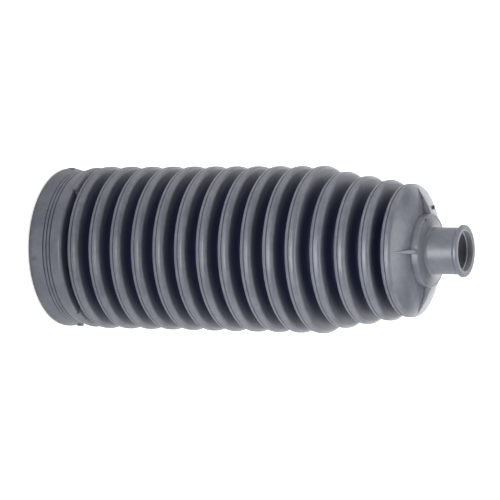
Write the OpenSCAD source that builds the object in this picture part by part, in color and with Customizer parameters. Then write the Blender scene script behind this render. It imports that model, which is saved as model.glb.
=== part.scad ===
// Steering rack boot: one rubber moulding, a pleated sleeve that is open at both ends.
// Z is the axis. The wide end stands on Z = 0 and the narrow neck points up.
// -Y is the front. Millimetres.

/* [Pleats] */
// Radius over the crests of the even pleats
crest_r = 32; // [28:0.25:40]
// Number of even pleats
body_pleats = 11; // [4:1:18]
// Distance from one even crest to the next
body_pitch = 9.3; // [8.2:0.05:14]
// Depth of a fold, from crest to valley floor, outside
fold_depth = 9.5; // [5.5:0.25:12]
// Width of the flat land on a crest
land_w = 1.3; // [0.6:0.05:1.8]
// Radius of the two edges of a land
crest_round = 1.75; // [1.6:0.05:2.1]
// Radius of a valley floor, outside
valley_round = 1.9; // [0.8:0.05:2.1]
// Thickness of the rubber in the pleats
wall = 1.2; // [0.8:0.05:1.5]

/* [Nose] */
// Number of smaller pleats that step down to the nose
nose_pleats = 4; // [2:1:6]
// Distance between the crests of the smaller pleats
nose_pitch = 9.15; // [8.2:0.05:14]
// Distance between the last two crests
last_pitch = 8.4; // [8:0.05:14]
// Radius over the last crest
nose_r = 25.2; // [22:0.2:27.8]
// How early the crests step down, where 1 is an even taper
nose_ease = 0.8; // [0.6:0.05:1.2]
// Radius of the dome's section
dome_round = 24; // [22:0.5:32]
// Angle at which a crest edge runs into the dome
dome_start = 58; // [50:1:62]

/* [Wide end] */
// Radius of the bore that fits the rack housing
rack_bore_r = 28.5; // [26.4:0.1:29]
// Length of the wide end, up to the first slot
cuff_l = 15.1; // [14:0.1:22]
// Radius over the rim
rim_r = 31.4; // [31.2:0.05:33]
// Length of the rim
rim_l = 2.6; // [2:0.1:3.5]
// Radius of the seat for the band clamp
seat_r = 30.45; // [29.8:0.05:31]
// Height at which the clamp seat starts
seat_z = 5.9; // [5:0.1:6.1]
// Width of the clamp seat
seat_l = 4.5; // [4:0.1:5.6]
// Radius of the shoulder above the seat
shoulder_r = 31.6; // [31.1:0.05:33]
// Length of the shoulder
shoulder_l = 1.5; // [1.3:0.1:2.5]
// Number of fine grooves in the clamp seat
groove_count = 3; // [0:1:3]
// Height of the middle of the grooves
groove_z = 7.9; // [7.8:0.05:8.8]
// Distance between the grooves
groove_pitch = 1.45; // [1:0.05:1.6]
// Depth of a groove
groove_depth = 0.45; // [0.1:0.05:0.6]
// Width of the slot between the shoulder and the first pleat
slot_w = 2.6; // [1.2:0.05:3.4]
// Depth of that slot, below the crests
slot_depth = 7.5; // [5.5:0.25:8.5]
// Angle that each of the two narrow stretches of the slot spans
web_span = 78; // [30:1:120]
// How far round the narrow stretches are turned
web_turn = 5; // [-30:1:30]
// Share of the slot's width that is filled there
web_share = 0.65; // [0.4:0.05:0.75]

/* [Narrow end] */
// Radius of the bore that fits the tie rod
tie_rod_bore_r = 7.6; // [6:0.1:8]
// Radius of the neck
neck_r = 8.85; // [8.6:0.05:9.4]
// Length of the neck between hub and lip
neck_l = 11.4; // [8:0.1:20]
// Radius of the lip that keeps the clip on
lip_r = 9.9; // [9.6:0.05:12]
// Length of the lip
lip_l = 2.25; // [1.8:0.05:4]
// Radius of the hub that the neck stands on
hub_r = 14; // [13.9:0.1:17]
// Height of the hub's side wall
hub_l = 2.7; // [1.5:0.1:4]
// Height of the hub's sloping face
hub_rise = 0.7; // [0.3:0.1:2]
// Radius of the fine ring in the hub's face
hub_ring_r = 13; // [12.8:0.05:13.2]
// Depth of the sealing bead's middle below the lip face
bead_depth = 2.65; // [2:0.05:5]
// Height of the bead above the bore
bead_h = 0.4; // [0.2:0.05:0.8]
// Width of the bead
bead_w = 1; // [0.6:0.05:1.6]

/* [Ribs and lugs] */
// Number of ribs between the dome and the hub
rib_count = 4; // [2:1:8]
// How far round the ribs are turned
rib_turn = 2; // [-45:1:45]
// Radius at which a rib leaves the dome
rib_tip_r = 24.2; // [20:0.1:24.2]
// Width of a rib at the hub
rib_w = 2.2; // [1:0.1:4]
// Width of a rib at its tip
rib_tip_w = 0.4; // [0.2:0.05:1]
// Width of a lug, round the wide end
lug_w = 2.4; // [1.5:0.1:8]
// Radius at which the pip stands on the dome
pip_r = 19; // [16:0.5:21]
// Width of the pip
pip_d = 1.6; // [0.8:0.1:3]
// Width of the dimple in the hub's face
dimple_d = 0.9; // [0.6:0.1:0.9]

/* [Hidden] */
$fn = 96;

rubber = "#5b6270";
crest_steps = 4;
valley_steps = 6;
dome_steps = 8;
corner_steps = 3;

// Edges of the plain turned surfaces
rim_round = 1.6;
shoulder_round = 1.3;
lip_round = 0.6;
hub_round = 0.35;
neck_fillet = 1.1;
bore_chamfer = 0.3;
mouth_chamfer = 0.5;
groove_w = 0.5;
hub_ring_w = 0.4;
hub_ring_depth = 0.15;

// Heights that follow from the sizes above
slot_z = cuff_l + slot_w / 2;
first_crest_z = cuff_l + slot_w + crest_round + land_w / 2;
pleats = body_pleats + nose_pleats;

// Height and radius of each crest, counted from the wide end
function nose_step(i) = max(0, i - body_pleats + 1);
function crest_z(i) =
    first_crest_z
    + min(i, body_pleats - 1) * body_pitch
    + min(nose_step(i), nose_pleats - 1) * nose_pitch
    + (nose_step(i) == nose_pleats ? last_pitch : 0);
function crest_radius(i) =
    crest_r - (crest_r - nose_r) * pow(nose_step(i) / nose_pleats, nose_ease);

// A profile point is [radius, height], and an angle is counted from straight out towards up.
// The same arc at another depth into the wall has the same centre.
function arc(centre, radius, from, to, steps) =
    [for (k = [0:steps])
        let (a = from + (to - from) * k / steps)
        centre + radius * [cos(a), sin(a)]];

// Centre of a crest's edge, where side is -1 below the land and 1 above it
function edge_centre(i, side) =
    [crest_radius(i) - crest_round, crest_z(i) + side * land_w / 2];

// Centre of the valley between crest i and the next
function valley_centre(i) =
    [(crest_radius(i) + crest_radius(i + 1)) / 2 - fold_depth + valley_round,
     (crest_z(i) + crest_z(i + 1)) / 2];

// Angle of the flank that touches a crest's edge and a valley floor
function flank(edge, valley, floor_r) =
    let (dr = edge[0] - valley[0], dz = abs(edge[1] - valley[1]))
    atan2(dz, -dr) - acos((crest_round + floor_r) / norm([dr, dz]));
function flank_up(i) = flank(edge_centre(i, 1), valley_centre(i), valley_round);
function flank_down(i) = flank(edge_centre(i + 1, -1), valley_centre(i), valley_round);

// The slot below the first pleat has straight sides and a round floor
slot_floor_r = slot_w / 2;
slot_centre = [crest_r - slot_depth + slot_floor_r, slot_z];
slot_flank = flank(edge_centre(0, -1), slot_centre, slot_floor_r);

// The dome starts on the last crest and ends on the hub
dome_edge = edge_centre(pleats - 1, 1);
dome_centre = dome_edge - (dome_round - crest_round) * [cos(dome_start), sin(dome_start)];
function dome_z(r) = dome_centre[1] + sqrt(pow(dome_round, 2) - pow(r - dome_centre[0], 2));
hub_z = dome_z(hub_r);
hub_top_z = hub_z + hub_l;
lip_z = hub_top_z + neck_l;
length = lip_z + lip_l;

// One pleat's surface at a depth into the wall: the land's lower edge, its upper edge, the valley
function crest_path(i, depth, from, to) =
    concat(
        arc(edge_centre(i, -1), crest_round - depth, -from, 0, crest_steps),
        arc(edge_centre(i, 1), crest_round - depth, 0, to, crest_steps));
function valley_path(centre, floor_r, depth, from, to) =
    arc(centre, -(floor_r + depth), from, -to, valley_steps);

function pleat_path(depth) =
    [for (i = [0:pleats - 1])
        let (down = i == 0 ? slot_flank : flank_down(i - 1),
             last = i == pleats - 1,
             up = last ? dome_start : flank_up(i),
             valley = last ? []
                 : valley_path(valley_centre(i), valley_round, depth, up, flank_down(i)))
        each concat(crest_path(i, depth, down, up), valley)];

function slot_path(depth) =
    valley_path(slot_centre, slot_floor_r, depth, 90, slot_flank);

// The dome's surface at a depth into the wall, down to a radius
function dome_path(depth, end_r) =
    let (end = acos((end_r - dome_centre[0]) / (dome_round - depth)))
    arc(dome_centre, dome_round - depth, dome_start, end, dome_steps);

// Outside of the wide end: rim, taper, grooved clamp seat and shoulder
function groove(z) =
    [[seat_r, z - groove_w / 2], [seat_r - groove_depth, z], [seat_r, z + groove_w / 2]];
cuff_path = concat(
    [[rack_bore_r + mouth_chamfer, 0]],
    arc([rim_r - rim_round, rim_round], rim_round, -90, 0, corner_steps),
    [[rim_r, rim_l], [seat_r, seat_z]],
    [for (k = [0:1:groove_count - 1])
        each groove(groove_z + (k - (groove_count - 1) / 2) * groove_pitch)],
    [[seat_r, seat_z + seat_l], [shoulder_r, cuff_l - shoulder_l]],
    arc([shoulder_r - shoulder_round, cuff_l - shoulder_round], shoulder_round,
        0, 90, corner_steps));

// Outside of the narrow end: hub, neck and lip
hub_slope = atan2(hub_r - neck_r, hub_rise);
hub_edge = arc([hub_r - hub_round, hub_top_z - hub_round], hub_round, 0, hub_slope, corner_steps);
neck_root = arc([neck_r + neck_fillet, hub_top_z + hub_rise + neck_fillet], -neck_fillet,
    hub_slope, 0, valley_steps);
function hub_face(r, depth) =
    let (a = hub_edge[corner_steps], b = neck_root[0])
    [r, a[1] + (b[1] - a[1]) * (a[0] - r) / (a[0] - b[0]) - depth];
neck_path = concat(
    hub_edge,
    [hub_face(hub_ring_r + hub_ring_w / 2, 0),
     hub_face(hub_ring_r, hub_ring_depth),
     hub_face(hub_ring_r - hub_ring_w / 2, 0)],
    neck_root,
    [[neck_r, lip_z],
     [lip_r, lip_z + lip_l - 2 * lip_round]],
    arc([lip_r - lip_round, length - lip_round], lip_round, 0, 90, corner_steps));

// Inside of the narrow end, from the face down: bore, bead, bore
bead_z = length - bead_depth;
bore_path = [
    [tie_rod_bore_r + bore_chamfer, length],
    [tie_rod_bore_r, length - bore_chamfer],
    [tie_rod_bore_r, bead_z + bead_w / 2],
    [tie_rod_bore_r - bead_h, bead_z + bead_w / 5],
    [tie_rod_bore_r - bead_h, bead_z - bead_w / 5],
    [tie_rod_bore_r, bead_z - bead_w / 2]];

// Inside of the wide end: the stop that the rack housing meets, then the plain bore
stop_path = [
    [rack_bore_r, slot_z - slot_floor_r - wall],
    [rack_bore_r, mouth_chamfer]];

function backwards(path) = [for (k = [len(path) - 1:-1:0]) path[k]];

boot_section = concat(
    cuff_path,
    slot_path(0),
    pleat_path(0),
    dome_path(0, hub_r),
    neck_path,
    bore_path,
    backwards(dome_path(wall, tie_rod_bore_r)),
    backwards(pleat_path(wall)),
    backwards(slot_path(wall)),
    stop_path);

module sleeve() {
    rotate_extrude()
        polygon(boot_section);
}

// The web thickens a stretch of the shoulder into the slot, and rounds down to the slot's floor.
// Its sides and bottom lie in the middle of the wall.
web_sink = 0.1;
web_drop = 5.5;
web_steps = 6;
module web(turn) {
    middle = wall / 2;
    top_r = shoulder_r - web_sink;
    across = slot_w * web_share;
    floor_r = slot_floor_r + middle;
    section = concat(
        [[top_r, cuff_l - middle]],
        arc(slot_centre, -floor_r, 90, -asin((across - slot_w / 2) / floor_r), valley_steps),
        [for (k = [web_steps:-1:0])
            let (a = 90 * k / web_steps)
            [top_r - web_drop * (1 - cos(a)), cuff_l + across * sin(a)]]);
    rotate([0, 0, turn - web_span / 2])
        rotate_extrude(angle = web_span)
            polygon(section);
}

// A thin rib whose crest rises from the dome to the edge of the hub
rib_steps = 6;
rib_bite = 1;
rib_rise = 1.15;
module rib(turn) {
    drop = hub_round / 2;
    rise = hub_l - drop;
    crest = [for (k = [0:rib_steps])
        let (t = k / rib_steps, r = rib_tip_r + (hub_r - rib_tip_r) * t)
        [r, dome_z(r) + rise * pow(t, rib_rise)]];
    root = [for (k = [rib_steps:-1:0])
        let (r = rib_tip_r + (hub_r - rib_bite - rib_tip_r) * k / rib_steps)
        [r, dome_z(r) - wall / 2]];
    side = concat(crest, [[hub_r - rib_bite, hub_top_z - drop]], root);
    plan = [
        [rib_tip_r + rib_bite, -rib_tip_w / 2], [rib_tip_r + rib_bite, rib_tip_w / 2],
        [hub_r - rib_bite, rib_w / 2], [hub_r - rib_bite, -rib_w / 2]];
    rotate([0, 0, turn])
        intersection() {
            rotate([90, 0, 0])
                linear_extrude(height = 2 * rib_w, center = true)
                    polygon(side);
            linear_extrude(height = length)
                polygon(plan);
        }
}

// A small lug on the outside of the wide end: one on the rim, one over the start of the seat
lug_bite = 2;
lug_lip = 0.2;
rim_lug_turn = 184;
rim_lug_z = 1.8;
rim_lug_l = 2.2;
rim_lug_h = 0.2;
seat_lug_turn = -2;
seat_lug_z = 6.05;
seat_lug_l = 1.9;
seat_lug_h = 1;
module lug(turn, bottom, tall, over) {
    span = lug_w / over * 180 / PI;
    top = bottom + tall;
    rotate([0, 0, turn - span / 2])
        rotate_extrude(angle = span)
            polygon([
                [over - lug_bite, bottom], [over - lug_lip, bottom], [over, bottom + lug_lip],
                [over, top - lug_lip], [over - lug_lip, top], [over - lug_bite, top]]);
}

// A small pip on the dome, beside a rib
pip_turn = 150;
pip_h = 0.7;
module pip() {
    root_z = dome_z(pip_r) - wall / 2;
    rotate([0, 0, pip_turn])
        translate([pip_r, 0, root_z])
            cylinder(d = pip_d, h = dome_z(pip_r) + pip_h - root_z);
}

// A small round dimple in the hub's face
dimple_r = 13.15;
dimple_turn = -151;
dimple_depth = 1.6;
module dimple() {
    rotate([0, 0, dimple_turn])
        translate([dimple_r, 0, hub_top_z - dimple_depth])
            cylinder(d = dimple_d, h = hub_rise + dimple_depth);
}

module boot() {
    color(rubber)
        difference() {
            union() {
                sleeve();
                web(180 + web_turn);
                web(web_turn);
                for (k = [0:rib_count - 1])
                    rib(-90 + rib_turn + k * 360 / rib_count);
                lug(rim_lug_turn, rim_lug_z, rim_lug_l, rim_r + rim_lug_h);
                lug(seat_lug_turn, seat_lug_z, seat_lug_l, seat_r + seat_lug_h);
                pip();
            }
            dimple();
        }
}

boot();
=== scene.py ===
# %% [markdown]
# # A steering rack boot
#
# A rack boot is a pleated rubber sleeve. Its wide end is clamped on the steering rack's housing, its narrow
# neck is clipped on the tie rod, and the pleats let it stretch and shorten while it keeps dirt out.
# It is moulded in one piece, so this lesson makes one piece: an outline of the wall, turned about an axis,
# with the few things that aren't round added to it, and one rubber finish.

# %% The packed model and its size
import math

import bpy
from mathutils import Matrix, Vector


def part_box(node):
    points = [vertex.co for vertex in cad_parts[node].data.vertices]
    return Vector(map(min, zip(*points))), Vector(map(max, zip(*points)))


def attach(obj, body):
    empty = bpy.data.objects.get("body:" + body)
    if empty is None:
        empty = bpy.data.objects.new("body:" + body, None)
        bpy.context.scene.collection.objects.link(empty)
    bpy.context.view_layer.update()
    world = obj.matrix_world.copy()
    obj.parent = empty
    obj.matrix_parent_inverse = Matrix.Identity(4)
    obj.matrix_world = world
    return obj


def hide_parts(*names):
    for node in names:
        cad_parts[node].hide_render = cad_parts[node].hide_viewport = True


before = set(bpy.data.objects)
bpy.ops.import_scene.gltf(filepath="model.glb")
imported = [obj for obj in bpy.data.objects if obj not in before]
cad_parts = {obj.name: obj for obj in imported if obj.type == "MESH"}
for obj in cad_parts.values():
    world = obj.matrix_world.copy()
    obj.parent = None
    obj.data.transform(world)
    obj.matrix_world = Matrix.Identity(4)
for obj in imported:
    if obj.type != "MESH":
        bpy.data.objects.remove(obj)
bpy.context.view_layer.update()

MM = 0.001
low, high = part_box("boot")
LENGTH = (high.z - low.z) / MM
CREST_R = high.x / MM
print("boot", round(LENGTH, 2), "mm long, its crests", round(CREST_R, 2), "mm from the axis")

# %% [markdown]
# ## The camera
#
# The picture that this model follows was taken from far away with a long lens, from 26 degrees above the
# boot's waist, and with the camera on its side, so that the axis runs across the frame. The camera is made
# from those few numbers: an aim on the axis, an elevation, a roll and a distance.

# %% Camera
AIM = Vector((0.00045, 0, 0.0813))
ELEVATION = math.radians(26.22)
ROLL = math.radians(90.6)
DISTANCE = 1.0941
LENS = 203.7

bpy.ops.object.camera_add()
camera = bpy.context.object
camera.name = "camera"
camera.data.lens = LENS
look = Vector((0, math.cos(ELEVATION), -math.sin(ELEVATION)))
turn = Matrix.Rotation(math.pi / 2 - ELEVATION, 4, "X") @ Matrix.Rotation(ROLL, 4, "Z")
camera.matrix_world = Matrix.Translation(AIM - DISTANCE * look) @ turn
bpy.context.scene.camera = camera
print("camera at", [round(c, 4) for c in camera.matrix_world.translation])

# %% [markdown]
# ## The outline pen
#
# A turned shape starts as an outline in the plane of X and Z. It could be typed in as a list of points, but
# then nobody can read a radius in it. Here one vertex is drawn along the outline as by hand: a straight
# stretch is an extrude, and a round stretch is a spin about the arc's own centre. Spin turns clockwise when
# its axis points at the viewer, so about +Y it goes from +X towards +Z.

# %% Pen
NO_MOVE = 1e-7


class Pen:
    """Draws in the XZ plane in millimetres by extruding the last vertex. Angles run from +X towards +Z."""

    def __init__(self, name, x, z):
        bpy.ops.object.select_all(action="DESELECT")
        bpy.ops.mesh.primitive_plane_add(size=MM, location=(x * MM, 0, z * MM))
        self.piece = bpy.context.object
        self.piece.name = name
        bpy.ops.object.transform_apply(location=True)
        bpy.ops.object.mode_set(mode="EDIT")
        bpy.ops.mesh.select_all(action="SELECT")
        bpy.ops.mesh.merge(type="CENTER")
        self.at = (x, z)

    def line(self, x, z):
        """Extrudes to a point, unless the pen is there."""
        step = ((x - self.at[0]) * MM, 0, (z - self.at[1]) * MM)
        if math.hypot(step[0], step[2]) > NO_MOVE:
            bpy.ops.mesh.extrude_vertices_move(TRANSFORM_OT_translate={"value": step})
        self.at = (x, z)

    def arc(self, centre, radius, start, end, steps):
        """Goes to the arc's first point and spins along it. A radius below 0 is on the centre's far side."""
        self.line(centre[0] + radius * math.cos(start), centre[1] + radius * math.sin(start))
        middle = (centre[0] * MM, 0, centre[1] * MM)
        bpy.ops.mesh.spin(steps=steps, angle=end - start, center=middle, axis=(0, 1, 0))
        self.at = (centre[0] + radius * math.cos(end), centre[1] + radius * math.sin(end))


print("Pen:", Pen.__doc__)

# %% [markdown]
# ## The wide end
#
# The outline starts at the mouth and goes up the outside. A rim keeps the band clamp from slipping off, a
# taper leads to its seat, three fine grooves give the band some bite, and a shoulder stands above it. The
# corners could be bevelled later, but a bevel would round the grooves as well, so they are arcs of the pen.

# %% Wide end
RACK_BORE_R = 28.5
MOUTH_ROUND = 0.5
RIM_R = 31.4
RIM = 2.6
RIM_ROUND = 1.6
SEAT_R = 30.45
SEAT_Z = 5.9
SEAT = 4.5
GROOVES = 3
GROOVE_Z = 7.9
GROOVE_PITCH = 1.45
GROOVE_DEPTH = 0.45
GROOVE_WIDTH = 0.5
CUFF = 15.1
SHOULDER_R = 31.6
SHOULDER = 1.5
SHOULDER_ROUND = 1.3
ROUND_STEPS = 5
QUARTER_TURN = math.pi / 2

pen = Pen("boot_sleeve", RACK_BORE_R + MOUTH_ROUND, 0)
pen.arc((RIM_R - RIM_ROUND, RIM_ROUND), RIM_ROUND, -QUARTER_TURN, 0, ROUND_STEPS)
pen.line(RIM_R, RIM)
pen.line(SEAT_R, SEAT_Z)
for k in range(GROOVES):
    groove = GROOVE_Z + (k - (GROOVES - 1) / 2) * GROOVE_PITCH
    pen.line(SEAT_R, groove - GROOVE_WIDTH / 2)
    pen.line(SEAT_R - GROOVE_DEPTH, groove)
    pen.line(SEAT_R, groove + GROOVE_WIDTH / 2)
pen.line(SEAT_R, SEAT_Z + SEAT)
pen.line(SHOULDER_R, CUFF - SHOULDER)
shoulder_centre = (SHOULDER_R - SHOULDER_ROUND, CUFF - SHOULDER_ROUND)
pen.arc(shoulder_centre, SHOULDER_ROUND, 0, QUARTER_TURN, ROUND_STEPS)
print("wide end with", GROOVES, "grooves, drawn up to", round(pen.at[1], 2), "mm")

# %% [markdown]
# ## The crests and valleys
#
# Eleven even pleats and four that step down make the sleeve. A pleat's wall has three radii: two on the edges
# of its land and one in the valley. Each crest could be given by its own numbers, but a pitch and a depth say
# what the mould maker set, so the places of the arcs' centres are worked out from those.

# %% Sizes of the pleats
BODY_PLEATS = 11
NOSE_PLEATS = 4
PLEATS = BODY_PLEATS + NOSE_PLEATS
BODY_PITCH = 9.3
NOSE_PITCH = 9.15
LAST_PITCH = 8.4
NOSE_R = 25.2
NOSE_EASE = 0.8
FOLD_DEPTH = 9.5
LAND = 1.3
CREST_ROUND = 1.75
VALLEY_ROUND = 1.9
SLOT = 2.6
FIRST_CREST = CUFF + SLOT + CREST_ROUND + LAND / 2
BODY_END = FIRST_CREST + (BODY_PLEATS - 1) * BODY_PITCH
NOSE_END = BODY_END + (NOSE_PLEATS - 1) * NOSE_PITCH + LAST_PITCH
print(PLEATS, "pleats, from", round(FIRST_CREST, 2), "mm to", round(NOSE_END, 2), "mm")


# %% Places of the crests and valleys
def nose_step(i):
    """How many steps down crest i is, from 0 on the even pleats."""
    return max(0, i - BODY_PLEATS + 1)


def crest_z(i):
    if nose_step(i) == NOSE_PLEATS:
        return NOSE_END
    return FIRST_CREST + min(i, BODY_PLEATS - 1) * BODY_PITCH + nose_step(i) * NOSE_PITCH


def crest_r(i):
    return CREST_R - (CREST_R - NOSE_R) * (nose_step(i) / NOSE_PLEATS) ** NOSE_EASE


def edge_centre(i, side):
    """Centre of a land's edge, below the land for side -1 and above it for side 1."""
    return crest_r(i) - CREST_ROUND, crest_z(i) + side * LAND / 2


def valley_centre(i):
    """Centre of the valley above crest i."""
    middle_r = (crest_r(i) + crest_r(i + 1)) / 2
    return middle_r - FOLD_DEPTH + VALLEY_ROUND, (crest_z(i) + crest_z(i + 1)) / 2


print("crest radii on the nose:", [round(crest_r(i), 2) for i in range(BODY_PLEATS, PLEATS)])

# %% [markdown]
# ## The flanks
#
# A flank is the straight stretch between a land's edge and a valley. It touches both arcs, so its angle
# follows from their centres and radii. It could be found by trial, but two lines of trigonometry give it
# exactly, and it stays right if a size changes. The first crest comes down into a narrow slot beside the
# shoulder, which has a half circle for its floor.

# %% Angles of the flanks
SLOT_DEPTH = 7.5
slot_floor = SLOT / 2
slot_centre = (CREST_R - SLOT_DEPTH + slot_floor, CUFF + slot_floor)


def flank(edge, valley, floor_r):
    """Angle at which a straight flank touches both the land's edge and the valley floor."""
    dr = edge[0] - valley[0]
    dz = abs(edge[1] - valley[1])
    return math.atan2(dz, -dr) - math.acos((CREST_ROUND + floor_r) / math.hypot(dr, dz))


def flank_up(i):
    return flank(edge_centre(i, 1), valley_centre(i), VALLEY_ROUND)


def flank_down(i):
    if i == 0:
        return flank(edge_centre(0, -1), slot_centre, slot_floor)
    return flank(edge_centre(i, -1), valley_centre(i - 1), VALLEY_ROUND)


print("flanks at", round(math.degrees(flank_up(0)), 1), "degrees")

# %% [markdown]
# ## The outside of the pleats
#
# The mould parts along every crest and leaves a fine crease beside the land. It is only half a millimetre
# wide, but it catches the light on all fifteen crests, so it is drawn in the outline and isn't left to a bump
# in the finish. A valley curves the other way than a crest. Its arc has a radius below 0, so that both can
# use the same angles.

# %% Outside of the pleats
CREST_STEPS = 6
VALLEY_STEPS = 8
CREASE_WIDTH = 0.5
CREASE_DEPTH = 0.4


def draw_crease(pen, i):
    """The parting line, a V at the lower edge of a crest's land."""
    z = crest_z(i) - LAND / 2
    pen.line(crest_r(i) - CREASE_DEPTH, z + CREASE_WIDTH / 2)
    pen.line(crest_r(i), z + CREASE_WIDTH)


pen.arc(slot_centre, -slot_floor, QUARTER_TURN, -flank_down(0), VALLEY_STEPS)
for i in range(PLEATS):
    pen.arc(edge_centre(i, -1), CREST_ROUND, -flank_down(i), 0, CREST_STEPS)
    draw_crease(pen, i)
    if i < PLEATS - 1:
        pen.arc(edge_centre(i, 1), CREST_ROUND, 0, flank_up(i), CREST_STEPS)
        pen.arc(valley_centre(i), -VALLEY_ROUND, flank_up(i), -flank_down(i + 1), VALLEY_STEPS)
print("outside of the pleats drawn up to", round(pen.at[1], 2), "mm")

# %% [markdown]
# ## The dome
#
# After the last crest the wall runs into a shallow dome. The dome's centre follows from the crest's edge, so
# that the two arcs meet smoothly. A part of a sphere would be quicker, but its wall would meet the crest at
# an angle.

# %% Dome
DOME_ROUND = 24
DOME_START = math.radians(58)
DOME_STEPS = 14
HUB_R = 14.0

last_edge = edge_centre(PLEATS - 1, 1)
shift = DOME_ROUND - CREST_ROUND
dome_centre = (last_edge[0] - shift * math.cos(DOME_START), last_edge[1] - shift * math.sin(DOME_START))


def dome_z(r):
    """Height of the dome's outside at a radius."""
    return dome_centre[1] + math.sqrt(DOME_ROUND ** 2 - (r - dome_centre[0]) ** 2)


def dome_end(r, depth):
    """Angle at which the dome's wall, at a depth, has come in to a radius."""
    return math.acos((r - dome_centre[0]) / (DOME_ROUND - depth))


pen.arc(last_edge, CREST_ROUND, 0, DOME_START, CREST_STEPS)
pen.arc(dome_centre, DOME_ROUND, DOME_START, dome_end(HUB_R, 0), DOME_STEPS)
print("dome drawn in to a radius of", round(pen.at[0], 2), "mm")

# %% [markdown]
# ## The hub
#
# The hub is a thick round plate that carries the neck. Its face rises a little towards the neck, and the
# mould left one fine ring in it. The ring could be cut with a Boolean modifier, but three more points of the
# outline do the same.

# %% Hub
HUB_WALL = 2.7
HUB_RISE = 0.7
HUB_ROUND = 0.35
HUB_RING_R = 13.0
HUB_RING_WIDTH = 0.4
HUB_RING_DEPTH = 0.15
NECK_R = 8.85
NECK_FILLET = 1.1

hub_top = dome_z(HUB_R) + HUB_WALL
slope = math.atan2(HUB_R - NECK_R, HUB_RISE)
pen.arc((HUB_R - HUB_ROUND, hub_top - HUB_ROUND), HUB_ROUND, 0, slope, ROUND_STEPS)
edge = pen.at
fillet_centre = (NECK_R + NECK_FILLET, hub_top + HUB_RISE + NECK_FILLET)
foot = (fillet_centre[0] - NECK_FILLET * math.cos(slope), fillet_centre[1] - NECK_FILLET * math.sin(slope))
for side, depth in ((0.5, 0), (0, HUB_RING_DEPTH), (-0.5, 0)):
    ring_r = HUB_RING_R + side * HUB_RING_WIDTH
    face_z = edge[1] + (foot[1] - edge[1]) * (edge[0] - ring_r) / (edge[0] - foot[0])
    pen.line(ring_r, face_z - depth)
pen.arc(fillet_centre, -NECK_FILLET, slope, 0, ROUND_STEPS)
print("hub at", round(hub_top, 2), "mm")

# %% [markdown]
# ## The neck, lip and bore
#
# A spring clip sits on the neck, and the lip keeps it there. Inside the lip a small round bead seals against
# the tie rod. The bead could be a torus of its own, but as one more arc of the outline, which goes over the
# lip and turns down into the bore, it is part of the same skin at once.

# %% Neck, lip and bore
NECK = 11.4
LIP_R = 9.9
LIP = 2.25
LIP_ROUND = 0.6
BORE_R = 7.6
BORE_ROUND = 0.35
BEAD_DEPTH = 2.65
BEAD_ROUND = 0.4

lip_z = hub_top + NECK
top_z = lip_z + LIP
pen.line(NECK_R, lip_z)
pen.line(LIP_R, top_z - 2 * LIP_ROUND)
pen.arc((LIP_R - LIP_ROUND, top_z - LIP_ROUND), LIP_ROUND, 0, QUARTER_TURN, ROUND_STEPS)
pen.arc((BORE_R + BORE_ROUND, top_z - BORE_ROUND), BORE_ROUND, QUARTER_TURN, 2 * QUARTER_TURN, ROUND_STEPS)
pen.arc((BORE_R, top_z - BEAD_DEPTH), BEAD_ROUND, QUARTER_TURN, 3 * QUARTER_TURN, ROUND_STEPS)
print("lip face at", round(top_z, 2), "mm of", round(LENGTH, 2))

# %% [markdown]
# ## The inside
#
# The inside goes back down at the wall's thickness. It shares the centres of the outside's arcs: round a
# crest its radius is smaller by the wall, and in a valley larger. A Solidify modifier on the outside alone
# would also give a wall, but not the thick hub and cuff, nor the bead.

# %% Inside of the wall
WALL = 1.2
INNER_STEPS = 3


def draw_inner_crest(pen, i):
    up = DOME_START if i == PLEATS - 1 else flank_up(i)
    pen.arc(edge_centre(i, 1), CREST_ROUND - WALL, up, 0, INNER_STEPS)
    pen.arc(edge_centre(i, -1), CREST_ROUND - WALL, 0, -flank_down(i), INNER_STEPS)


pen.arc(dome_centre, DOME_ROUND - WALL, dome_end(BORE_R, WALL), DOME_START, DOME_STEPS)
draw_inner_crest(pen, PLEATS - 1)
for i in reversed(range(PLEATS - 1)):
    pen.arc(valley_centre(i), -(VALLEY_ROUND + WALL), -flank_down(i + 1), flank_up(i), VALLEY_STEPS)
    draw_inner_crest(pen, i)
pen.arc(slot_centre, -(slot_floor + WALL), -flank_down(0), QUARTER_TURN, VALLEY_STEPS)
pen.line(RACK_BORE_R, CUFF - WALL)
pen.line(RACK_BORE_R, MOUTH_ROUND)
pen.line(RACK_BORE_R + MOUTH_ROUND, 0)
print("outline back at", [round(c, 2) for c in pen.at], "mm")

# %% [markdown]
# ## Turning the wall
#
# Spin carries the closed outline once round the Z axis. The outline's end falls on its start, and the last
# copy on the first, so doubles are merged before the spin and after it. A Screw modifier would do the same,
# but a spin gives at once a mesh that other pieces can be joined to.

# %% Spin
SPIN_STEPS = 128
SAME_POINT = 1e-6


def merge_doubles():
    bpy.ops.mesh.select_all(action="SELECT")
    bpy.ops.mesh.remove_doubles(threshold=SAME_POINT)


def turn_outline(piece, steps, angle):
    """Spins all of a piece anticlockwise about Z, merges its doubles and points its faces outwards."""
    bpy.ops.mesh.select_all(action="SELECT")
    bpy.ops.mesh.spin(steps=steps, angle=-angle, center=(0, 0, 0), axis=(0, 0, 1))
    merge_doubles()
    bpy.ops.mesh.normals_make_consistent(inside=False)
    bpy.ops.object.mode_set(mode="OBJECT")
    print(piece.name, "has", len(piece.data.polygons), "faces")


merge_doubles()
sleeve = pen.piece
turn_outline(sleeve, SPIN_STEPS, 2 * math.pi)

# %% [markdown]
# ## The ribs
#
# Four thin ribs stiffen the hub. Each is a fin whose edge rises from the dome to the rim of the hub, under
# half a millimetre wide at its tip and about two at the hub. The fin's side is drawn with the pen, filled and
# extruded wider than it ends up, and two slanted cuts with bisect take it down towards the tip. Scaling the
# tip's vertices would be quicker, but the cuts keep the fin's sides flat.

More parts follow.
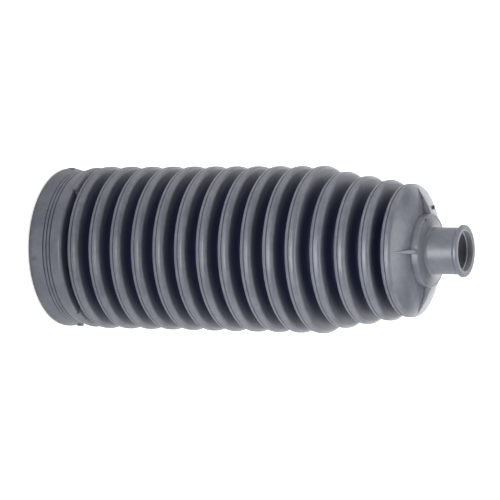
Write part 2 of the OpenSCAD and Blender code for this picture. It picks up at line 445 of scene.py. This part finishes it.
# %% Side of a rib
RIB_TIP_R = 24.2
RIB_STEPS = 8
RIB_BITE = 1.0
RIB_RISE = 1.15
rib_root_r = HUB_R - RIB_BITE


def draw_rib_side():
    """The side of a rib along +X: its edge, its end in the hub, and its foot in the middle of the wall."""
    pen = Pen("rib", RIB_TIP_R, dome_z(RIB_TIP_R))
    drop = HUB_ROUND / 2
    for k in range(1, RIB_STEPS + 1):
        share = k / RIB_STEPS
        r = RIB_TIP_R + (HUB_R - RIB_TIP_R) * share
        pen.line(r, dome_z(r) + (HUB_WALL - drop) * share ** RIB_RISE)
    pen.line(rib_root_r, hub_top - drop)
    pen.arc(dome_centre, DOME_ROUND - WALL / 2, dome_end(rib_root_r, WALL / 2),
            dome_end(RIB_TIP_R, WALL / 2), RIB_STEPS)
    return pen.piece


rib = draw_rib_side()
print("rib from", RIB_TIP_R, "mm in to", rib_root_r, "mm")

# %% Thickness of a rib
RIB_WIDTH = 2.2
RIB_TIP_WIDTH = 0.4

bpy.ops.mesh.select_all(action="SELECT")
bpy.ops.mesh.edge_face_add()
bpy.ops.transform.translate(value=(0, -RIB_WIDTH * MM, 0))
bpy.ops.mesh.extrude_region_move(TRANSFORM_OT_translate={"value": (0, 2 * RIB_WIDTH * MM, 0)})
for side in (-1, 1):
    across = Vector(((RIB_WIDTH - RIB_TIP_WIDTH) / 2, side * (RIB_TIP_R - rib_root_r), 0)).normalized()
    corner = (rib_root_r * MM, side * RIB_WIDTH / 2 * MM, 0)
    bpy.ops.mesh.select_all(action="SELECT")
    bpy.ops.mesh.bisect(plane_co=corner, plane_no=across, use_fill=True, clear_outer=True)
bpy.ops.mesh.select_all(action="SELECT")
bpy.ops.mesh.normals_make_consistent(inside=False)
bpy.ops.object.mode_set(mode="OBJECT")
print("rib", round(rib.dimensions.y / MM, 2), "mm wide")

# %% [markdown]
# ## Soft edges and copies
#
# Small parts of a rubber moulding have no sharp edges, so a rib gets a narrow bevel, for which a modifier
# finds the edges by their angle. The rib is modelled once, and the four on the hub are copies of it.

# %% Four ribs
RIBS = 4
RIB_TURN = math.radians(-88)
SHARP = math.radians(40)
BEVEL_SEGMENTS = 2
RIB_SOFT = 0.12


def soften(piece, width):
    """Rounds the sharp edges of a piece a little."""
    bevel = piece.modifiers.new("soft edges", "BEVEL")
    bevel.width = width * MM
    bevel.segments = BEVEL_SEGMENTS
    bevel.limit_method = "ANGLE"
    bevel.angle_limit = SHARP
    bpy.context.view_layer.objects.active = piece
    bpy.ops.object.modifier_apply(modifier=bevel.name)


def turned_copy(piece, angle, name):
    """A copy with its own mesh, turned about Z with the turn applied."""
    bpy.ops.object.select_all(action="DESELECT")
    copy = piece.copy()
    copy.data = piece.data.copy()
    copy.name = name
    bpy.context.collection.objects.link(copy)
    copy.data.transform(Matrix.Rotation(angle, 4, "Z"))
    return copy


soften(rib, RIB_SOFT)
ribs = [turned_copy(rib, RIB_TURN + k * 2 * math.pi / RIBS, f"rib_{k}") for k in range(RIBS)]
bpy.data.objects.remove(rib)
print(len(ribs), "ribs of", len(ribs[0].data.polygons), "faces")

# %% [markdown]
# ## The webs
#
# On two sides a web thickens the shoulder, so that the slot behind it is narrow there and the wide end stays
# round under the clamp. A web is a part of a ring, so it is a small outline, filled and spun through a part
# of a turn. It could be cut out of a whole ring, but then a second shape would have to place its ends.

# %% Webs
WEB_SPAN = math.radians(78)
WEB_TURN = math.radians(5)
WEB_SINK = 0.1
WEB_DROP = 5.5
WEB_SHARE = 0.65
WEB_STEPS = 30


def part_turn(pen, steps, start, span):
    """Closes and fills the pen's outline, and spins it from start through span."""
    merge_doubles()
    bpy.ops.mesh.select_all(action="SELECT")
    bpy.ops.mesh.edge_face_add()
    turn_outline(pen.piece, steps, span)
    pen.piece.data.transform(Matrix.Rotation(start, 4, "Z"))
    return pen.piece


def make_web(name, turn):
    """A web centred on a turn about Z, with its foot in the middle of the shoulder's and the slot's wall."""
    top_r = SHOULDER_R - WEB_SINK
    across = SLOT * WEB_SHARE
    floor_r = slot_floor + WALL / 2
    pen = Pen(name, top_r, CUFF - WALL / 2)
    pen.arc(slot_centre, -floor_r, QUARTER_TURN, -math.asin((across - SLOT / 2) / floor_r), VALLEY_STEPS)
    for k in range(VALLEY_STEPS, -1, -1):
        angle = QUARTER_TURN * k / VALLEY_STEPS
        pen.line(top_r - WEB_DROP * (1 - math.cos(angle)), CUFF + across * math.sin(angle))
    return part_turn(pen, WEB_STEPS, turn - WEB_SPAN / 2, WEB_SPAN)


webs = [make_web("web_left", math.pi + WEB_TURN), make_web("web_right", WEB_TURN)]
print(len(webs), "webs of", round(math.degrees(WEB_SPAN)), "degrees")

# %% [markdown]
# ## The lugs
#
# Two small lugs on the wide end, one on the rim and one on the seat, show how the boot goes on. They are
# blocks that follow the round of the wall, so they are short part turns too, and not cubes.

# %% Lugs
LUG_WIDTH = 2.4
LUG_BITE = 2.0
LUG_STEPS = 4
LUG_SOFT = 0.2
RIM_LUG_TURN = math.radians(184)
RIM_LUG_Z = (1.8, 4.0)
RIM_LUG_HEIGHT = 0.2
SEAT_LUG_TURN = math.radians(-2)
SEAT_LUG_Z = (6.05, 7.95)
SEAT_LUG_HEIGHT = 1.0


def make_lug(name, turn, heights, outer_r):
    """A block between two heights, from inside the wall out to a radius."""
    bottom, top = heights
    span = LUG_WIDTH / outer_r
    pen = Pen(name, outer_r - LUG_BITE, bottom)
    pen.line(outer_r, bottom)
    pen.line(outer_r, top)
    pen.line(outer_r - LUG_BITE, top)
    lug = part_turn(pen, LUG_STEPS, turn - span / 2, span)
    soften(lug, LUG_SOFT)
    return lug


lugs = [make_lug("lug_rim", RIM_LUG_TURN, RIM_LUG_Z, RIM_R + RIM_LUG_HEIGHT),
        make_lug("lug_seat", SEAT_LUG_TURN, SEAT_LUG_Z, SEAT_R + SEAT_LUG_HEIGHT)]
print(len(lugs), "lugs")

# %% [markdown]
# ## The pip and dimple
#
# Two small marks of the mould are left to make: a pip that stands on the dome, and a round dimple near the
# edge of the hub's face. Faces of the turned wall could be inset and moved, but they are long and narrow
# there, so both marks start as cylinders across the surface that they change.

# %% Pip and dimple
STUD_SIDES = 32
STUD_SOFT = 0.15
PIP_R = 19.0
PIP_WIDTH = 1.6
PIP_HEIGHT = 0.7
PIP_TURN = math.radians(150)
DIMPLE_R = 13.15
DIMPLE_WIDTH = 0.9
DIMPLE_DEPTH = 1.6
DIMPLE_CLEARANCE = 2
DIMPLE_TURN = math.radians(-151)


def make_stud(name, r, turn, width, bottom, top):
    """An upright cylinder at a radius and a turn about Z, with softened edges."""
    bpy.ops.object.select_all(action="DESELECT")
    middle = (r * math.cos(turn) * MM, r * math.sin(turn) * MM, (bottom + top) / 2 * MM)
    bpy.ops.mesh.primitive_cylinder_add(vertices=STUD_SIDES, radius=width / 2 * MM, depth=(top - bottom) * MM,
                                        location=middle)
    stud = bpy.context.object
    stud.name = name
    bpy.ops.object.transform_apply(location=True)
    soften(stud, STUD_SOFT)
    return stud


pip = make_stud("pip", PIP_R, PIP_TURN, PIP_WIDTH, dome_z(PIP_R) - WALL / 2, dome_z(PIP_R) + PIP_HEIGHT)
dimple = make_stud("dimple", DIMPLE_R, DIMPLE_TURN, DIMPLE_WIDTH, hub_top - DIMPLE_DEPTH,
                   hub_top + DIMPLE_CLEARANCE)
print("pip of", len(pip.data.polygons), "faces, dimple of", len(dimple.data.polygons))

# %% [markdown]
# ## One moulding
#
# The ribs, webs, lugs and pip are part of the same rubber, so they are united with the sleeve by Boolean
# modifiers, and the dimple is cut out of it. They could simply be left standing in it, but then their hidden
# ends would stay inside the wall as stray faces, and the piece wouldn't be one skin.

# %% Unite
SMOOTH_UP_TO = math.radians(32)


def combine(body, other, operation):
    """Joins a closed piece to the body, or cuts it out of the body, and removes it."""
    step = body.modifiers.new("combine", "BOOLEAN")
    step.operation = operation
    step.solver = "MANIFOLD"
    step.object = other
    bpy.context.view_layer.objects.active = body
    bpy.ops.object.modifier_apply(modifier=step.name)
    bpy.data.objects.remove(other)


for added in ribs + webs + lugs + [pip]:
    combine(sleeve, added, "UNION")
combine(sleeve, dimple, "DIFFERENCE")

bpy.ops.object.select_all(action="DESELECT")
sleeve.select_set(True)
bpy.context.view_layer.objects.active = sleeve
bpy.ops.object.shade_smooth_by_angle(angle=SMOOTH_UP_TO)
print("one skin of", len(sleeve.data.polygons), "faces,",
      sum(len(p.vertices) - 2 for p in sleeve.data.polygons), "triangles")

# %% [markdown]
# ## Writing a finish as sums
#
# A finish is easier to read as a sum than as a web of nodes. Value wraps one node's output, and each sign
# between two of them, or between one and a plain number, adds a Math node.

# %% Values
class Value:
    """A number or colour that a node gives, for use in sums."""

    def __init__(self, finish, socket):
        self.finish = finish
        self.socket = socket

    def math(self, operation, a, b):
        return self.finish.node("ShaderNodeMath", {"operation": operation}, {0: a, 1: b})

    def __add__(self, other):
        return self.math("ADD", self, other)

    def __radd__(self, other):
        return self.math("ADD", other, self)

    def __sub__(self, other):
        return self.math("SUBTRACT", self, other)

    def __rsub__(self, other):
        return self.math("SUBTRACT", other, self)

    def __mul__(self, other):
        return self.math("MULTIPLY", self, other)

    def __rmul__(self, other):
        return self.math("MULTIPLY", other, self)

    def __truediv__(self, other):
        return self.math("DIVIDE", self, other)

    def __rtruediv__(self, other):
        return self.math("DIVIDE", other, self)

    def __pow__(self, other):
        return self.math("POWER", self, other)

    def __rpow__(self, other):
        return self.math("POWER", other, self)

    def at_least(self, other):
        return self.math("MAXIMUM", self, other)

    def between(self, start, end):
        """0 below start, 1 above end, with a smooth way between."""
        return self.finish.node("ShaderNodeMapRange", {"interpolation_type": "SMOOTHSTEP"},
                                {"Value": self, "From Min": start, "From Max": end})


print("Value:", Value.__doc__)

# %% [markdown]
# ## Making the nodes
#
# Every other node comes from one method that takes its kind, its settings and what goes into its sockets. A
# Mix node has its sockets once for each kind of value, and they share their names, so the colours' sockets
# are picked by their numbers.

# %% Finishes
MIX_FACTOR, MIX_A, MIX_B, MIX_RESULT = 0, 6, 7, 2


class Finish:
    """A material with one Principled shader."""

    def __init__(self, name):
        self.material = bpy.data.materials.new(name)
        self.material.use_nodes = True
        self.tree = self.material.node_tree
        self.shader = self.tree.nodes["Principled BSDF"]

    def node(self, kind, settings, inputs, output=0):
        """Adds a node, with its settings first and then its sockets, and gives one of its outputs."""
        made = self.tree.nodes.new(kind)
        for name, value in settings.items():
            setattr(made, name, value)
        for key, value in inputs.items():
            self.put(made.inputs[key], value)
        return Value(self, made.outputs[output])

    def put(self, socket, value):
        """Links a Value to a socket, or sets the socket."""
        if isinstance(value, Value):
            self.tree.links.new(value.socket, socket)
        else:
            socket.default_value = value

    def mix(self, factor, a, b):
        """Colour a where factor is 0 and b where it is 1."""
        return self.node("ShaderNodeMix", {"data_type": "RGBA"}, {MIX_FACTOR: factor, MIX_A: a, MIX_B: b},
                         MIX_RESULT)

    def split(self, place):
        """The X, Y and Z of a place."""
        parts = self.node("ShaderNodeSeparateXYZ", {}, {"Vector": place})
        return [Value(self, output) for output in parts.socket.node.outputs]

    def noise(self, place, scale, detail, roughness):
        return self.node("ShaderNodeTexNoise", {},
                         {"Vector": place, "Scale": scale, "Detail": detail, "Roughness": roughness})

    def give(self, **inputs):
        """Fills the shader's own sockets, with _ for each space in a name."""
        for name, value in inputs.items():
            self.put(self.shader.inputs[name.replace("_", " ")], value)


print("Finish:", Finish.__doc__)

# %% [markdown]
# ## Depth below the crests
#
# Moulded rubber comes out of the tool dark and satin. The folds are painted darker than the crests, as
# painted shade for the deep pleats, which hide them from the light. The shade could be painted by hand, but
# it only follows the depth below the crests, and that is a sum of Object coordinates: the line over the
# crests less the radius, as a share of the fold's depth.

# %% Depth
rubber = Finish("rubber")
place = rubber.node("ShaderNodeTexCoord", {}, {}, "Object")
x, y, z = rubber.split(place)
r = (x * x + y * y) ** 0.5
nose = ((z - BODY_END * MM) / ((NOSE_END - BODY_END) * MM)).at_least(0.0) ** NOSE_EASE
crest_line = CREST_R * MM - nose * ((CREST_R - NOSE_R) * MM)
depth = (crest_line - r) / (FOLD_DEPTH * MM)
print("depth takes", len(rubber.tree.nodes), "nodes")

# %% [markdown]
# ## The painted shade in the folds
#
# The painted shade begins just below a crest's edge and is full a little past half depth. The wide end and
# the dome lie below the crests' line too, so a mask keeps it to the pleats. The webs fill the first slot at
# the sides, where the painted shade is a little lighter.

# %% Painted shade in the folds
FOLD_SHADE_FROM = 0.08
FOLD_SHADE_TO = 0.6
CUFF_FADE = 0.4
DOME_FADE = 1.5
WEB_FADE = 0.01
WEB_TOP = 0.6
WEB_LESS_SHADE = 0.1

above_cuff = z.between((CUFF - CUFF_FADE) * MM, CUFF * MM)
below_dome = 1 - z.between(NOSE_END * MM, (NOSE_END + DOME_FADE) * MM)
towards_web = (x * math.cos(WEB_TURN) + y * math.sin(WEB_TURN)) / r
web_end = math.cos(WEB_SPAN / 2) ** 2
in_web = (towards_web * towards_web).between(web_end - WEB_FADE, web_end)
in_web = in_web * (1 - z.between((CUFF + SLOT * WEB_TOP) * MM, (CUFF + SLOT) * MM))
# Painted shade: the folds' colour darkens with their depth, in place of the shade that deep pleats get.
fold_shade = (depth - in_web * WEB_LESS_SHADE).between(FOLD_SHADE_FROM, FOLD_SHADE_TO) * (above_cuff * below_dome)
print("folds dark from", FOLD_SHADE_FROM, "to", FOLD_SHADE_TO, "of their depth")

# %% [markdown]
# ## Painted shade in the grooves, painted light in the bore, and a smudge
#
# Painted shade darkens the seat's grooves, and painted light pales the inside of the neck's bore, which the
# lamps hardly reach. A thumb has rubbed one spot of the rim. Each is a mask of its own, made from the same
# coordinates and the sizes of the outline, so that it stays in its place if a size changes.

# %% Groove shade, bore light and rub
SEAT_FADE = 0.1
GROOVE_SHADE_EDGE = 0.03
BORE_LIGHT_FROM = 0.1
BORE_LIGHT_TO = 0.3
RUB = (4.6, -31.0, 2.9)
RUB_CORE = 0.2
RUB_EDGE = 1.6

above_taper = z.between((SEAT_Z + SEAT_FADE / 2) * MM, (SEAT_Z + SEAT_FADE) * MM)
below_shoulder = 1 - z.between((SEAT_Z + SEAT - SEAT_FADE) * MM, (SEAT_Z + SEAT) * MM)
in_groove = 1 - (r / MM).between(SEAT_R - GROOVE_DEPTH, SEAT_R - GROOVE_SHADE_EDGE)
# Painted shade in the seat's grooves.
groove_shade = in_groove * (above_taper * below_shoulder)
# Painted light: the inside of the bore is paled, where the lamps hardly reach.
bore_light = 1 - (r / MM).between(BORE_R + BORE_LIGHT_FROM, BORE_R + BORE_LIGHT_TO)
from_rub = ((x - RUB[0] * MM) ** 2 + (y - RUB[1] * MM) ** 2 + (z - RUB[2] * MM) ** 2) ** 0.5
rubbed = 1 - from_rub.between(RUB_CORE * MM, RUB_EDGE * MM)
print("rubbed spot", RUB_EDGE, "mm in radius")

# %% [markdown]
# ## Mottle and dust
#
# Small mottling, clouds, specks and a little dust keep the rubber from looking like plastic. A picture of
# rubber could be laid on it, but only after all the folds were laid out flat. Each is noise of its own size
# with its contrast raised, and of the dust's noise only the peaks are left.

# %% Mottle and dust
def blotches(scale, detail, roughness, none, full):
    """Noise that is 0 below none and 1 above full. A scale of 100 makes blotches about a centimetre wide."""
    return rubber.noise(place, scale, detail, roughness).between(none, full)


mottle = blotches(scale=140, detail=3, roughness=0.6, none=0.35, full=0.70)
speck = blotches(scale=520, detail=3, roughness=0.7, none=0.35, full=0.75)
cloud = blotches(scale=28, detail=2, roughness=0.5, none=0.30, full=0.75)
dust = blotches(scale=900, detail=2, roughness=0.6, none=0.70, full=0.80)
print("with the masks and blotches,", len(rubber.tree.nodes), "nodes")

# %% [markdown]
# ## The rubber
#
# The colour starts as mottled slate and is laid over in turn by the painted shade of the folds and the
# grooves, the dust, the painted light in the bore and the rubbed spot. The folds are a little rougher than
# the crests. A fine grain is left to a bump, because it would take far too many faces to model.

# %% Colour of the rubber
SLATE = (0.083, 0.090, 0.114, 1)
# The dark blue of the painted shade in the folds and grooves, and of the rubbed smudge.
SHADE_AND_SMUDGE = (0.022, 0.028, 0.074, 1)
# The pale colour of the dust and mottle, and of the painted light in the bore.
DUST_AND_BORE_LIGHT = (0.30, 0.31, 0.33, 1)
MOTTLE_SHARE = 0.10
CLOUD_SHARE = 0.08
SPECK_SHARE = 0.08
GROOVE_SHADE_SHARE = 0.8
DUST_SHARE = 0.12
BORE_LIGHT_SHARE = 0.9
RUB_SHARE = 0.55

colour = rubber.mix(mottle * MOTTLE_SHARE + cloud * CLOUD_SHARE + speck * SPECK_SHARE, SLATE, DUST_AND_BORE_LIGHT)
# Painted shade in the folds.
colour = rubber.mix(fold_shade, colour, SHADE_AND_SMUDGE)
# Painted shade in the grooves.
colour = rubber.mix(groove_shade * GROOVE_SHADE_SHARE, colour, SHADE_AND_SMUDGE)
colour = rubber.mix(dust * DUST_SHARE, colour, DUST_AND_BORE_LIGHT)
# Painted light in the bore.
colour = rubber.mix(bore_light * BORE_LIGHT_SHARE, colour, DUST_AND_BORE_LIGHT)
colour = rubber.mix(rubbed * RUB_SHARE, colour, SHADE_AND_SMUDGE)
print("with the colour,", len(rubber.tree.nodes), "nodes")

# %% Gloss and grain of the rubber
SATIN = 0.35
MOTTLE_ROUGHNESS = 0.08
FOLD_ROUGHNESS = 0.2
GRAIN_STRENGTH = 0.18
GRAIN_HEIGHT = 0.00008

grain = rubber.noise(place, scale=2600, detail=3, roughness=0.6)
skin = rubber.node("ShaderNodeBump", {},
                   {"Strength": GRAIN_STRENGTH, "Distance": GRAIN_HEIGHT, "Height": grain})
rubber.give(Base_Color=colour, Roughness=SATIN + mottle * MOTTLE_ROUGHNESS + fold_shade * FOLD_ROUGHNESS,
            Normal=skin, IOR=1.5, Specular_IOR_Level=0.5)
print("rubber of", len(rubber.tree.nodes), "nodes")

# %% [markdown]
# ## The finished piece
#
# The finish goes on the moulding. The boot has no moving parts, so its one piece rides on the root, and it
# stands for the packed model's only node.

# %% Piece
sleeve.data.materials.clear()
sleeve.data.materials.append(rubber.material)
sleeve.name = "boot_moulding"
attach(sleeve, "root")
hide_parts("boot")
print("rubber on", sleeve.name)

# %% [markdown]
# ## The floor
#
# The boot stands on its wide end on a white floor, which fills the frame. The floor adds a little light of
# its own for the camera only, so it reads as white and still keeps the boot's shadow. More light on it would
# do the same, but would also bleach the boot.

# %% Floor
FLOOR_SIZE = 6
PAPER = (0.8, 0.8, 0.8, 1)
PAPER_ROUGHNESS = 0.9
PAPER_GLOW = 0.6

bpy.ops.object.select_all(action="DESELECT")
bpy.ops.mesh.primitive_plane_add(size=FLOOR_SIZE, location=(0, 0, low.z))
floor = bpy.context.object
floor.name = "floor"
paper = Finish("white_floor")
seen = paper.node("ShaderNodeLightPath", {}, {}, "Is Camera Ray")
paper.give(Base_Color=PAPER, Roughness=PAPER_ROUGHNESS, Emission_Color=seen * PAPER_GLOW,
           Emission_Strength=1)
floor.data.materials.append(paper.material)
print("floor of", FLOOR_SIZE, "m")

# %% [markdown]
# ## The light
#
# Rubber this dark shows its form by what it reflects, so the lamps are large and soft. A wide one low behind
# and one on each side reach into the folds where they turn away. A large one overhead lights the dome evenly,
# and the crests keep its light out of the folds below them. A low one in front draws the long gleam on the
# crests, and a small one near the floor lifts their undersides. The folds in front stay dark, as no lamp
# looks into them, and the painted shade in the rubber's colour darkens them further.

# %% Room and lamps
ROOM_LIGHT = 0.05
HIGH_AIM = (0, 0, 0.16)

world = bpy.data.worlds.new("room")
bpy.context.scene.world = world
world.use_nodes = True
world.node_tree.nodes["Background"].inputs["Color"].default_value = (1, 1, 1, 1)
world.node_tree.nodes["Background"].inputs["Strength"].default_value = ROOM_LIGHT


def softbox(name, place, width, height, watts, target=AIM, spread=180):
    """A flat lamp that looks at a point, with its light spread over an angle."""
    bpy.ops.object.light_add(type="AREA", location=place)
    lamp = bpy.context.object
    lamp.name = name
    lamp.data.shape = "RECTANGLE"
    lamp.data.size = width
    lamp.data.size_y = height
    lamp.data.energy = watts
    lamp.data.spread = math.radians(spread)
    towards = Vector(target) - Vector(place)
    lamp.rotation_euler = towards.to_track_quat("-Z", "Y").to_euler()
    return lamp


lamps = [
    softbox("lamp_back", (0, 1.3, 0.35), width=2.4, height=0.6, watts=15),
    softbox("lamp_over", (0.06, 0.1, 1.3), width=1.4, height=1.0, watts=18),
    softbox("lamp_left", (-1.0, 0.15, 0.5), width=0.9, height=0.9, watts=6),
    softbox("lamp_right", (1.0, 0.15, 0.5), width=0.9, height=0.9, watts=6.5),
    softbox("lamp_low", (0.09, -0.42, 0.03), width=0.3, height=0.3, watts=0.6, target=HIGH_AIM, spread=70),
    softbox("lamp_front", (0.05, -1.0, 0.18), width=0.6, height=0.25, watts=2.8),
]
print(len(lamps), "lamps")

# %% [markdown] ## The view The view's colours are left plain.

# %% The view
bpy.context.scene.view_settings.view_transform = "Standard"
